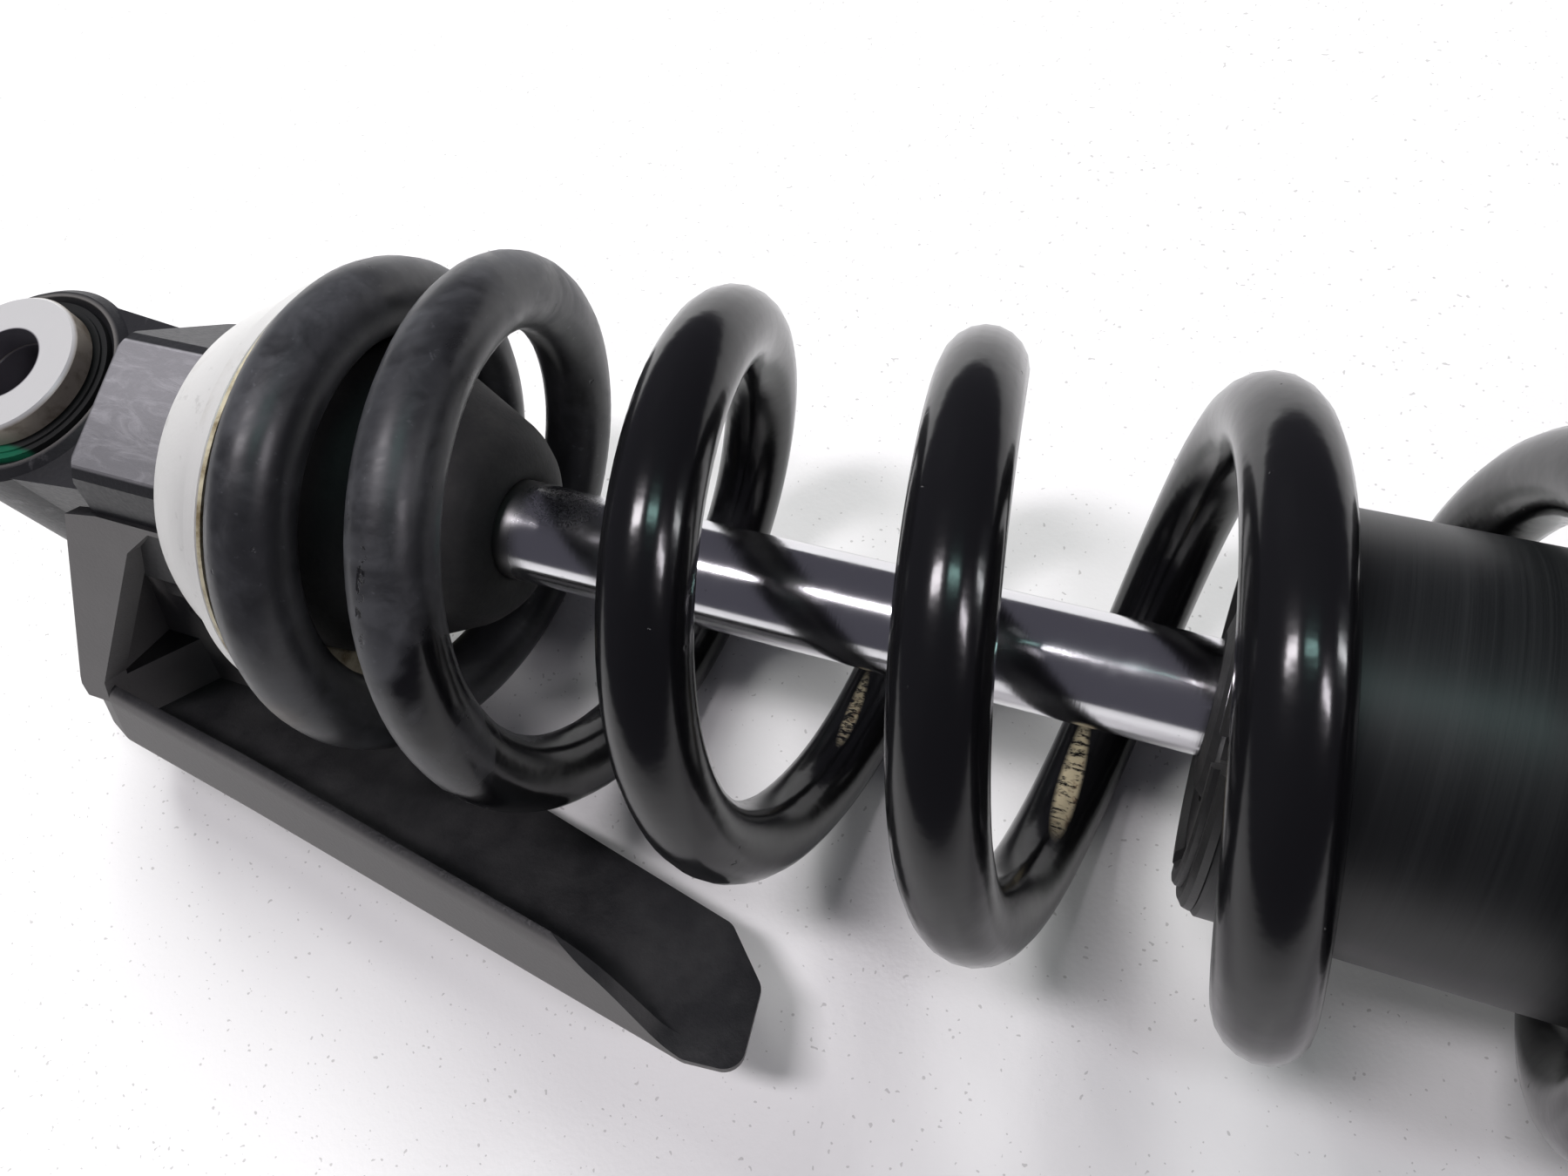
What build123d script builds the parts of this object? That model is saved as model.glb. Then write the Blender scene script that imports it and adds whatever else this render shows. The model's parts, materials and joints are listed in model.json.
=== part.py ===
from build123d import *
import os
from math import cos, degrees, pi, radians, sin, sqrt, tan

# Rear shock absorber of a motorcycle: coil spring over a monotube gas damper.
# Millimetres. +X runs along the shock from the lower eye to the upper eye,
# +Z is the axis of both mounting bores, the origin is the centre of the lower bore.

os.makedirs("parts", exist_ok=True)

# Driving dimensions
eye_to_eye = 392.0
stroke = 90.0
fit = 0.03             # radial running clearance of bearings and guides
gap = 0.3              # clearance between pieces that only pass each other

rod_r = 7.0
bore_r = 21.0          # inside of the damper tube
tube_r = 24.6
tube_start = 178.2
tube_end = 366.0
cap_face = 176.2       # front of the end cap at full extension

wire_r = 5.25
coil_r = 32.4          # wire centre line in the open coils
small_coil_r = 29.0    # wire centre line in the lower end coil
open_pitch = 32.5
closed_pitch = 11.8
seat_low = 57.0        # ground face of the lower end coil
spring_length = 183.0
seat_high = seat_low + spring_length
spring_start_deg = -87.5

# Bearing set of each eye
eye_r = 17.2
eye_half = 12.5
mount_bore_r = 6.1
sleeve_r = 8.5
needle_r = 1.25
needle_count = 22
shell_out_r = 11.7
shell_half = 8.4
seal_out_r = 14.0
collar_hub_r = 10.0
collar_r = 12.1
collar_face = 16.7     # half of the width over the collars

# Hexagon of the lower mount
hex_flat = 18.5        # axis to flat
hex_corner_r = 20.8    # corners are turned down to this radius
hex_start = 22.0
hex_end = 40.9
hex_turn = 9.5         # turn of the flats about the axis, degrees

# Splash guard: a tray under the spring, tilted about the shock axis
guard_tilt = 25.0
guard_clear = 41.0     # axis to the inner face of the tray floor
guard_floor = 2.6
guard_wall = 3.2
guard_wall_height = 9.5
guard_round = 2.2
back_wall_height = 23.0


def write(part, name):
    part.label = name
    export_step(part, "parts/" + name + ".step")


def turned(points):
    """A closed outline of (x, radius) points turned about the X axis."""
    with BuildPart() as body:
        with BuildSketch(Plane.XY):
            with BuildLine():
                Polyline(*points, close=True)
            make_face()
        revolve(axis=Axis.X)
    return body.part


def tube_piece(x0, x1, inner, outer, bevel=0.0):
    """A ring about the X axis, with its outer edges bevelled."""
    with BuildPart() as body:
        with BuildSketch(Plane.YZ.offset(x0)):
            Circle(outer)
            Circle(inner, mode=Mode.SUBTRACT)
        extrude(amount=x1 - x0)
        if bevel:
            rims = body.edges().filter_by(GeomType.CIRCLE)
            chamfer(rims.filter_by(lambda e: abs(e.radius - outer) < 0.01), length=bevel)
    return body.part


# ---------------------------------------------------------------- eyes

def bearing_set(name, x):
    """Needle bearing, seals, inner sleeve and spacer collars of one eye."""
    centre = Plane(origin=(x, 0, 0), x_dir=(1, 0, 0), z_dir=(0, 0, 1))

    with BuildPart() as shell:
        with BuildSketch(centre.offset(-shell_half)):
            Circle(shell_out_r)
            Circle(sleeve_r + 2 * needle_r + 2 * fit, mode=Mode.SUBTRACT)
        extrude(amount=2 * shell_half)
    write(shell.part, name + "_bearing_shell")

    with BuildPart() as needles:
        with BuildSketch(centre.offset(1 - shell_half)):
            with PolarLocations(sleeve_r + needle_r + fit, needle_count):
                Circle(needle_r)
        extrude(amount=2 * (shell_half - 1))
    write(needles.part, name + "_bearing_needles")

    with BuildPart() as sleeve:
        with BuildSketch(centre.offset(-collar_face + 3.8)):
            Circle(sleeve_r)
            Circle(mount_bore_r, mode=Mode.SUBTRACT)
        extrude(amount=2 * (collar_face - 3.8))
        chamfer(sleeve.edges().filter_by(GeomType.CIRCLE), length=0.4)
    write(sleeve.part, name + "_sleeve")

    for side, sign in (("near", 1), ("far", -1)):
        face = Plane(origin=(x, 0, 0), x_dir=(1, 0, 0), z_dir=(0, 0, sign))
        with BuildPart() as seal:
            with BuildSketch(face.offset(9.6)):
                Circle(seal_out_r)
                Circle(collar_hub_r + fit, mode=Mode.SUBTRACT)
            extrude(amount=2.9)
            with BuildSketch(face.offset(12.5)):
                Circle(seal_out_r - 0.9)
                Circle(collar_hub_r + fit, mode=Mode.SUBTRACT)
            extrude(amount=0.35)
        write(seal.part, name + "_seal_" + side)

        with BuildPart() as collar:
            with BuildSketch(face.offset(9.2)):
                Circle(collar_hub_r)
            extrude(amount=4.0)
            with BuildSketch(face.offset(13.15)):
                Circle(collar_r)
            extrude(amount=collar_face - 13.15)
            chamfer(collar.faces().sort_by(lambda f: sign * f.center().Z)[-1].edges(), length=0.5)
            with BuildSketch(face.offset(9.2)):
                Circle(sleeve_r)
            extrude(amount=collar_face - 3.8 - 9.2, mode=Mode.SUBTRACT)
            with BuildSketch(face.offset(9.2)):
                Circle(mount_bore_r)
            extrude(amount=collar_face, mode=Mode.SUBTRACT)
        write(collar.part, name + "_collar_" + side)


def eye_seats(x):
    """The stepped bore of an eye, as a solid to take away."""
    with BuildPart(mode=Mode.PRIVATE) as tool:
        centre = Plane(origin=(x, 0, 0), x_dir=(1, 0, 0), z_dir=(0, 0, 1))
        with BuildSketch(centre.offset(-eye_half - 1)):
            Circle(shell_out_r)
        extrude(amount=2 * eye_half + 2)
        for sign in (1, -1):
            face = Plane(origin=(x, 0, 0), x_dir=(1, 0, 0), z_dir=(0, 0, sign))
            with BuildSketch(face.offset(9.55)):
                Circle(seal_out_r)
            extrude(amount=5)
            with BuildSketch(face.offset(eye_half - 1.2)):
                Circle(seal_out_r)
            extrude(amount=2.4, taper=-45)
    return tool.part


bearing_set("lower", 0.0)
bearing_set("upper", eye_to_eye)

# The flat of the hexagon that carries the guard, and its outward direction
flat_deg = 210 + hex_turn
flat_dir = (0, cos(radians(flat_deg)), sin(radians(flat_deg)))
saddle_x = (hex_start + hex_end) / 2
saddle_plane = Plane(origin=(saddle_x, flat_dir[1] * hex_flat, flat_dir[2] * hex_flat),
                     x_dir=(1, 0, 0), z_dir=flat_dir)
pad_thickness = 4.0
screw_spread = 9.0
screw_r = 2.5
screw_depth = 9.0

# Lower mount: eye, neck and hexagon in one forging
spigot_r = 13.9
spigot_end = 48.0
lower_seats = eye_seats(0.0)
with BuildPart() as lower_mount:
    with BuildSketch(Plane.XY.offset(-eye_half)):
        Circle(eye_r)
    extrude(amount=2 * eye_half)
    chamfer(lower_mount.edges().filter_by(GeomType.CIRCLE), length=1.2)
    with BuildSketch(Plane.XY.offset(-eye_half + 1.0)):
        with BuildLine():
            Polyline((5, 15.6), (hex_start + 1, 14.0), (hex_start + 1, -14.0), (5, -15.6), close=True)
        make_face()
    extrude(amount=2 * (eye_half - 1.0))
    with BuildPart(mode=Mode.PRIVATE) as hexagon:
        with BuildSketch(Plane.YZ.offset(hex_start)):
            RegularPolygon(hex_flat, 6, major_radius=False, rotation=hex_turn)
        extrude(amount=hex_end - hex_start)
        with BuildSketch(Plane.YZ.offset(hex_start)):
            Circle(hex_corner_r)
        extrude(amount=hex_end - hex_start, mode=Mode.INTERSECT)
        chamfer(hexagon.edges().filter_by(GeomType.CIRCLE), length=0.5)
    add(hexagon.part)
    with BuildSketch(Plane.YZ.offset(hex_end)):
        Circle(spigot_r)
    extrude(amount=spigot_end - hex_end)
    add(lower_seats, mode=Mode.SUBTRACT)
    with BuildSketch(Plane.YZ.offset(27.0)):
        Circle(6.0)
    extrude(amount=spigot_end, mode=Mode.SUBTRACT)
    with BuildSketch(saddle_plane):
        with Locations((-screw_spread / 2, 0), (screw_spread / 2, 0)):
            Circle(screw_r)
    extrude(amount=-screw_depth, mode=Mode.SUBTRACT)
write(lower_mount.part, "lower_mount")

# ---------------------------------------------------------------- rod group

head_end = 207.0
top_out = 6.0
shim = 0.3
shim_radii = (16.5, 14.5, 12.5, 10.5)
piston_start = head_end + gap + top_out + 2.0 + shim * len(shim_radii)
piston_length = 12.0
piston_end = piston_start + piston_length
nut_start = piston_end + shim * len(shim_radii)
nut_length = 7.0
spindle_r = 5.0
rod_shoulder = head_end + gap + top_out

with BuildPart() as piston_rod:
    with BuildSketch(Plane.YZ.offset(27.5)):
        Circle(6.0)
    extrude(amount=20.5 + 7.0)
    with BuildSketch(Plane.YZ.offset(55.0)):
        Circle(rod_r)
    extrude(amount=rod_shoulder - 55.0)
    with BuildSketch(Plane.YZ.offset(rod_shoulder)):
        Circle(spindle_r)
    extrude(amount=nut_start + nut_length + 1.5 - rod_shoulder)
write(piston_rod.part, "piston_rod")

with BuildPart() as rod_lock_nut:
    with BuildSketch(Plane.YZ.offset(spigot_end)):
        RegularPolygon(11.0, 6, major_radius=False)
        Circle(6.0, mode=Mode.SUBTRACT)
    extrude(amount=6.5)
write(rod_lock_nut.part, "rod_lock_nut")

# Lower spring seat: a turned aluminium ring with a rounded shoulder and a flange
flange_face = 56.4
bump_start = 57.4
with BuildPart() as lower_spring_seat:
    with BuildSketch(Plane.XY):
        with BuildLine():
            Line((hex_end, spigot_r), (hex_end, 23.4))
            Line((hex_end, 23.4), (hex_end + 0.8, 24.6))
            ThreePointArc((hex_end + 0.8, 24.6), (46.8, 27.3), (51.4, 28.6))
            ThreePointArc((51.4, 28.6), (52.3, 29.1), (52.7, 30.0))
            Line((52.7, 30.0), (53.6, 31.2))
            Line((53.6, 31.2), (56.0, 31.8))
            Line((56.0, 31.8), (flange_face, 31.5))
            Line((flange_face, 31.5), (flange_face, 15.0))
            Line((flange_face, 15.0), (48.5, 15.0))
            Line((48.5, 15.0), (48.5, spigot_r))
            Line((48.5, spigot_r), (hex_end, spigot_r))
        make_face()
    revolve(axis=Axis.X)
write(lower_spring_seat.part, "lower_spring_seat")

write(tube_piece(flange_face, seat_low, 23.4, 31.9), "seat_washer")
write(tube_piece(flange_face, bump_start, rod_r + 0.1, 23.2), "bump_stop_washer")

# Bump stop: a cone of elastomer round the rod, with one waist
with BuildPart() as bump_stop:
    with BuildSketch(Plane.XY):
        with BuildLine():
            Line((bump_start, rod_r + 0.05), (bump_start, 22.6))
            Line((bump_start, 22.6), (bump_start + 0.6, 23.2))
            Line((bump_start + 0.6, 23.2), (61.6, 22.9))
            Line((61.6, 22.9), (78.6, 14.9))
            ThreePointArc((78.6, 14.9), (81.4, 12.4), (82.5, 9.2))
            Line((82.5, 9.2), (82.2, rod_r + 0.05))
            Line((82.2, rod_r + 0.05), (bump_start, rod_r + 0.05))
        make_face()
    revolve(axis=Axis.X)
write(bump_stop.part, "bump_stop")

write(tube_piece(head_end + gap, rod_shoulder, rod_r + 0.05, 12.0, 1.2), "top_out_bumper")
write(tube_piece(rod_shoulder, rod_shoulder + 2.0, spindle_r, 18.0, 0.5), "valve_backing_plate")


def shim_stack(x, growing):
    """Thin spring-steel discs stacked face to face, smallest away from the piston."""
    radii = sorted(shim_radii, reverse=not growing)
    with BuildPart() as stack:
        for index, radius in enumerate(radii):
            with BuildSketch(Plane.YZ.offset(x + index * shim)):
                Circle(radius)
                Circle(spindle_r, mode=Mode.SUBTRACT)
            extrude(amount=shim)
    return stack.part


write(shim_stack(rod_shoulder + 2.0, True), "compression_shims")
write(shim_stack(piston_end, False), "rebound_shims")

piston_body_r = bore_r - 0.5
with BuildPart() as piston:
    with BuildSketch(Plane.YZ.offset(piston_start)):
        Circle(piston_body_r)
        Circle(spindle_r, mode=Mode.SUBTRACT)
    extrude(amount=piston_length)
    with BuildSketch(Plane.YZ.offset(piston_start)):
        with PolarLocations(13.4, 6):
            SlotOverall(7.0, 3.2, rotation=90)
    extrude(amount=piston_length, mode=Mode.SUBTRACT)
    with BuildSketch(Plane.YZ.offset(piston_start + 2.5)):
        Circle(piston_body_r + 1)
        Circle(piston_body_r - 1.5, mode=Mode.SUBTRACT)
    extrude(amount=piston_length - 5.0, mode=Mode.SUBTRACT)
write(piston.part, "piston")
write(tube_piece(piston_start + 2.6, piston_end - 2.6, piston_body_r - 1.5, bore_r - fit), "piston_ring")

with BuildPart() as piston_nut:
    with BuildSketch(Plane.YZ.offset(nut_start)):
        RegularPolygon(8.5, 6, major_radius=False)
        Circle(spindle_r, mode=Mode.SUBTRACT)
    extrude(amount=nut_length)
write(piston_nut.part, "piston_nut")

# ---------------------------------------------------------------- damper

seal_pocket_r = 12.0
with BuildPart() as end_cap:
    with BuildSketch(Plane.XY):
        with BuildLine():
            Polyline(
                (cap_face + 0.6, seal_pocket_r), (cap_face + 0.6, 19.4), (cap_face - 0.3, 20.2),
                (cap_face - 0.3, 21.6), (cap_face, 21.9), (cap_face + 0.6, 21.9), (cap_face + 0.6, 23.2),
                (cap_face + 1.2, 24.0), (tube_start, 24.2), (tube_start, bore_r), (187.0, bore_r),
                (187.0, seal_pocket_r), close=True,
            )
        make_face()
    revolve(axis=Axis.X)
    with BuildSketch(Plane.YZ.offset(cap_face - 1)):
        with PolarLocations(21.3, 4, start_angle=33):
            Rectangle(6.0, 3.4)
    extrude(amount=2.2, mode=Mode.SUBTRACT)
write(end_cap.part, "end_cap")

write(turned([(176.0, rod_r + fit), (175.4, rod_r + 0.9), (176.0, 10.6), (177.4, seal_pocket_r),
              (181.0, seal_pocket_r), (181.0, rod_r + 1.6), (177.4, rod_r + fit)]), "wiper_seal")
write(tube_piece(181.2, 187.0, rod_r + fit, seal_pocket_r), "oil_seal")

bush_r = 8.6
groove = 1.6
with BuildPart() as seal_head:
    with BuildSketch(Plane.XY):
        with BuildLine():
            Polyline(
                (187.0, bush_r), (187.0, bore_r - 0.05), (193.0, bore_r - 0.05), (193.0, bore_r - groove),
                (195.6, bore_r - groove), (195.6, bore_r - 0.05), (203.0, bore_r - 0.05), (203.0, 17.0),
                (head_end, 17.0), (head_end, bush_r), close=True,
            )
        make_face()
    revolve(axis=Axis.X)
write(seal_head.part, "seal_head")
write(tube_piece(189.0, head_end - 1.0, rod_r + fit, bush_r), "rod_guide_bush")


def oring(x):
    """An O-ring lying in a groove that is cut `groove` deep below the tube bore."""
    wire = 0.77
    with BuildPart() as ring:
        with BuildSketch(Plane.XY):
            with Locations((x, bore_r - groove + wire + 0.01)):
                Circle(wire)
        revolve(axis=Axis.X)
    return ring.part


write(oring(194.3), "seal_head_oring")

# Circlip: an open wire ring that sits half in the tube wall
clip_x = 204.2
with BuildPart() as circlip:
    with BuildSketch(Plane.XY):
        with Locations((clip_x, bore_r)):
            Circle(1.0)
    revolve(axis=Axis.X, revolution_arc=325)
write(circlip.part, "seal_head_circlip")

# Damper tube, with a thread for the preload collar cut as a row of grooves
thread_start = 244.5
thread_count = 28
thread_pitch = 2.0
thread_depth = 0.9
with BuildPart() as damper_tube:
    with BuildSketch(Plane.YZ.offset(tube_start)):
        Circle(tube_r)
        Circle(bore_r, mode=Mode.SUBTRACT)
    extrude(amount=tube_end - tube_start)
    chamfer(damper_tube.edges().filter_by(GeomType.CIRCLE).filter_by(
        lambda e: abs(e.radius - tube_r) < 0.01), length=0.6)
    with BuildSketch(Plane.XY) as groove_row:
        for index in range(thread_count):
            x = thread_start + index * thread_pitch
            with BuildLine():
                Polyline((x, tube_r + 0.1), (x + thread_pitch / 2, tube_r - thread_depth),
                         (x + thread_pitch, tube_r + 0.1), close=True)
            make_face()
    revolve(axis=Axis.X, mode=Mode.SUBTRACT)
    with BuildSketch(Plane.XY):
        with Locations((clip_x, bore_r)):
            Circle(1.02)
    revolve(axis=Axis.X, mode=Mode.SUBTRACT)
write(damper_tube.part, "damper_tube")

# Top cap with the upper eye, screwed into the tube
spigot_depth = 10.0
upper_seats = eye_seats(eye_to_eye)
valve_x = tube_end + 4.0
valve_base = 17.0
with BuildPart() as top_cap:
    with BuildSketch(Plane.XY.offset(-eye_half)):
        with Locations((eye_to_eye, 0)):
            Circle(eye_r)
    extrude(amount=2 * eye_half)
    chamfer(top_cap.edges().filter_by(GeomType.CIRCLE), length=1.0)
    with BuildSketch(Plane.XY.offset(-eye_half + 1.0)):
        with BuildLine():
            Polyline((tube_end + 8, 17.6), (eye_to_eye - 5, 16.0), (eye_to_eye - 5, -16.0),
                     (tube_end + 8, -17.6), close=True)
        make_face()
    extrude(amount=2 * (eye_half - 1.0))
    with BuildSketch(Plane.YZ.offset(tube_end)):
        Circle(tube_r + 1.0)
    extrude(amount=8.5)
    chamfer(top_cap.edges().filter_by(GeomType.CIRCLE).filter_by(
        lambda e: abs(e.radius - tube_r - 1.0) < 0.01), length=1.4)
    with BuildSketch(Plane.YZ.offset(tube_end - spigot_depth)):
        Circle(bore_r - 0.05)
        Circle(15.0, mode=Mode.SUBTRACT)
    extrude(amount=spigot_depth)
    with BuildSketch(Plane.YZ.offset(tube_end - 7.0)):
        Circle(bore_r + 1)
        Circle(bore_r - groove, mode=Mode.SUBTRACT)
    extrude(amount=2.6, mode=Mode.SUBTRACT)
    add(upper_seats, mode=Mode.SUBTRACT)
    with BuildSketch(Plane(origin=(valve_x, 0, 0), x_dir=(1, 0, 0), z_dir=(0, 1, 0)).offset(valve_base)):
        Circle(3.9)
    extrude(amount=15.0, mode=Mode.SUBTRACT)
    with BuildSketch(Plane(origin=(valve_x, 0, 0), x_dir=(1, 0, 0), z_dir=(0, 1, 0))):
        Circle(1.0)
    extrude(amount=18.0, mode=Mode.SUBTRACT)
    with BuildSketch(Plane.YZ.offset(tube_end)):
        Circle(1.0)
    extrude(amount=valve_x + 1.0 - tube_end, mode=Mode.SUBTRACT)
write(top_cap.part, "top_cap")
write(oring(tube_end - 5.7), "top_cap_oring")

valve_plane = Plane(origin=(valve_x, 0, 0), x_dir=(1, 0, 0), z_dir=(0, 1, 0))
with BuildPart() as gas_valve:
    with BuildSketch(valve_plane.offset(valve_base)):
        Circle(3.85)
        Circle(1.4, mode=Mode.SUBTRACT)
    extrude(amount=tube_r + 2.0 - valve_base)
    with BuildSketch(valve_plane.offset(tube_r + 2.0)):
        Circle(2.6)
        Circle(1.4, mode=Mode.SUBTRACT)
    extrude(amount=4.0)
write(gas_valve.part, "gas_valve")

with BuildPart() as valve_cap:
    with BuildSketch(valve_plane.offset(tube_r + 2.0)):
        Circle(4.2)
        Circle(2.65, mode=Mode.SUBTRACT)
    extrude(amount=4.4)
    with BuildSketch(valve_plane.offset(tube_r + 6.4)):
        Circle(4.2)
    extrude(amount=1.8)
    chamfer(valve_cap.faces().sort_by(Axis.Y)[-1].edges(), length=0.6)
write(valve_cap.part, "valve_cap")

# Floating piston between oil and gas, with its O-ring
floater_start = 321.0
floater_length = 12.0
with BuildPart() as floating_piston:
    with BuildSketch(Plane.XY):
        with BuildLine():
            Polyline(
                (floater_start, 0), (floater_start, 19.8), (floater_start + 0.8, bore_r - fit),
                (floater_start + 4.6, bore_r - fit), (floater_start + 4.6, bore_r - groove),
                (floater_start + 7.2, bore_r - groove), (floater_start + 7.2, bore_r - fit),
                (floater_start + floater_length, bore_r - fit), (floater_start + floater_length, 16.0),
                (floater_start + 8.5, 15.0), (floater_start + 8.5, 0), close=True,
            )
        make_face()
    revolve(axis=Axis.X)
write(floating_piston.part, "floating_piston")
write(oring(floater_start + 5.9), "floating_piston_oring")

# ---------------------------------------------------------------- spring and preload

transition = 0.7       # turns over which the pitch changes
closed_turns = 0.7     # turns of closed pitch at each end
open_turns = 4.25
total_turns = 2 * (closed_turns + transition) + open_turns


def pitch_at(turn):
    """Pitch of the coil after so many turns from the lower tip."""
    edge = min(turn, total_turns - turn)
    blend = min(1.0, max(0.0, (edge - closed_turns) / transition))
    return closed_pitch + (open_pitch - closed_pitch) * blend


def radius_at(turn):
    """Radius of the wire's centre line: the lower end coil is drawn in."""
    start = 0.35
    blend = min(1.0, max(0.0, (turn - start) / 1.3))
    return small_coil_r + (coil_r - small_coil_r) * blend * (2 - blend)


def coil_points(per_turn=12, steps=20):
    """Points on the wire's centre line, with the pitch summed in small steps."""
    count = round(total_turns * per_turn)
    step = total_turns / (count * steps)
    climb = [0.0]
    for index in range(count * steps):
        climb.append(climb[-1] + pitch_at((index + 0.5) * step) * step)
    stretch = (seat_high - wire_tip_high - wire_tip_low) / climb[-1]
    points = []
    for index in range(count + 1):
        turn = total_turns * index / count
        angle = radians(spring_start_deg + 360 * turn)
        radius = radius_at(turn)
        x = wire_tip_low + climb[index * steps] * stretch
        points.append((x, radius * cos(angle), radius * sin(angle)))
    return points


wire_tip_low = 56.3    # centre line at the lower tip, half of it ground away
wire_tip_high = 0.3    # centre line below the upper ground face at the other tip
with BuildPart() as spring:
    with BuildLine() as wire_path:
        Spline(*coil_points())
    wire_edge = wire_path.edges()[0]
    with BuildSketch(Plane(origin=wire_edge @ 0, z_dir=wire_edge % 0)):
        Circle(wire_r)
    sweep()
    with BuildSketch(Plane.YZ.offset(seat_low)):
        Circle(2 * coil_r)
    extrude(amount=spring_length, mode=Mode.INTERSECT)
write(spring.part, "spring")

# Upper spring seat, preload collar and lock ring on the thread
collar_start = seat_high + 4.0
upper_seat_r = 37.5
write(turned([(seat_high - 3.0, tube_r + 0.15), (seat_high - 3.0, 26.6), (seat_high, 27.0), (seat_high, upper_seat_r - 0.8),
              (seat_high + 0.8, upper_seat_r), (collar_start, upper_seat_r), (collar_start, tube_r + 0.15)]),
      "upper_spring_seat")


def castle_ring(x0, length, outer, slots, slot_width, slot_depth):
    """A threaded ring with hook-spanner slots round its rim."""
    with BuildPart() as ring:
        with BuildSketch(Plane.YZ.offset(x0)):
            Circle(outer)
            Circle(tube_r + 0.08, mode=Mode.SUBTRACT)
            with PolarLocations(outer, slots):
                Rectangle(2 * slot_depth, slot_width, mode=Mode.SUBTRACT)
        extrude(amount=length)
        chamfer(ring.edges().filter_by(GeomType.CIRCLE).filter_by(
            lambda e: abs(e.radius - outer) < 0.01), length=0.8)
    return ring.part


write(castle_ring(collar_start, 13.0, 36.6, 8, 7.0, 4.0), "preload_collar")
write(castle_ring(collar_start + 13.0 + 0.1, 7.0, 35.0, 12, 5.0, 3.0), "preload_lock_ring")

# ---------------------------------------------------------------- splash guard

tilt = radians(guard_tilt)
inner_face = Plane(origin=(0, -guard_clear * sin(tilt), -guard_clear * cos(tilt)),
                   x_dir=(1, 0, 0), z_dir=(0, sin(tilt), cos(tilt)))
web_deg = 142.6         # direction that the web faces, from +Y towards +Z
web_clear = 19.4        # axis to the outer face of the web
web_thickness = 4.2
web_out = (0, cos(radians(web_deg)), sin(radians(web_deg)))
web_face = Plane(origin=(0, web_clear * web_out[1], web_clear * web_out[2]), x_dir=(1, 0, 0), z_dir=web_out)
near_corner = (7.4, -25.6)
near_shoulder = (14.0, -28.2)
near_bend = (44.0, -32.6)
tip_near = (124.0, -45.2)
tip_end = (132.0, -44.2)
tip_far = (130.0, -32.0)
far_shoulder = (122.4, -24.6)
far_bend = (86.0, -16.2)
far_corner = (44.0, -7.0)
end_corner = (8.4, -8.0)
draft_deg = 5.0
end_wall_start = 9.2    # where the end wall stands on the floor
end_wall_lean = 8.0     # degrees, towards the spring
end_wall_thickness = 2.6
key_room_r = 4.6        # room for the screw heads and their key
key_room_depth = 10.0

with BuildPart() as tray:
    with BuildSketch(inner_face.offset(-guard_floor)):
        with BuildLine():
            FilletPolyline(near_corner, near_shoulder, near_bend, tip_near, tip_end, tip_far, far_shoulder, far_bend,
                           far_corner, end_corner, close=True, radius=3.0)
        make_face()
    extrude(amount=guard_floor + guard_wall_height, taper=draft_deg)
    fillet(tray.faces().sort_by(Axis.Z)[0].edges(), radius=guard_round)
    # hollow above the floor, open towards the far side and the tip
    with BuildSketch(inner_face):
        with BuildLine():
            Polyline((near_corner[0] + guard_wall + 2.2, near_shoulder[1] + guard_wall),
                     (near_bend[0], near_bend[1] + guard_wall), (tip_near[0] - 4, tip_near[1] + guard_wall),
                     (145, -43), (145, 20), (end_corner[0] + 16, 20),
                     (end_corner[0] + 12, end_corner[1] - 3), close=True)
        make_face()
    extrude(amount=20, mode=Mode.SUBTRACT)
    # the near wall runs out at the tip
    with BuildSketch(Plane(origin=inner_face.origin, x_dir=(1, 0, 0), z_dir=(0, -cos(tilt), sin(tilt))).offset(-30)):
        with BuildLine():
            Spline((96, guard_wall_height + 0.3), (112, 6.8), (119.5, 1.6), (126, 0.0),
                   tangents=((1, 0), (1, 0)))
            Polyline((126, 0.0), (145, 0.0), (145, 30), (96, 30), (96, guard_wall_height + 0.3))
        make_face()
    extrude(amount=100, mode=Mode.SUBTRACT)

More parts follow.
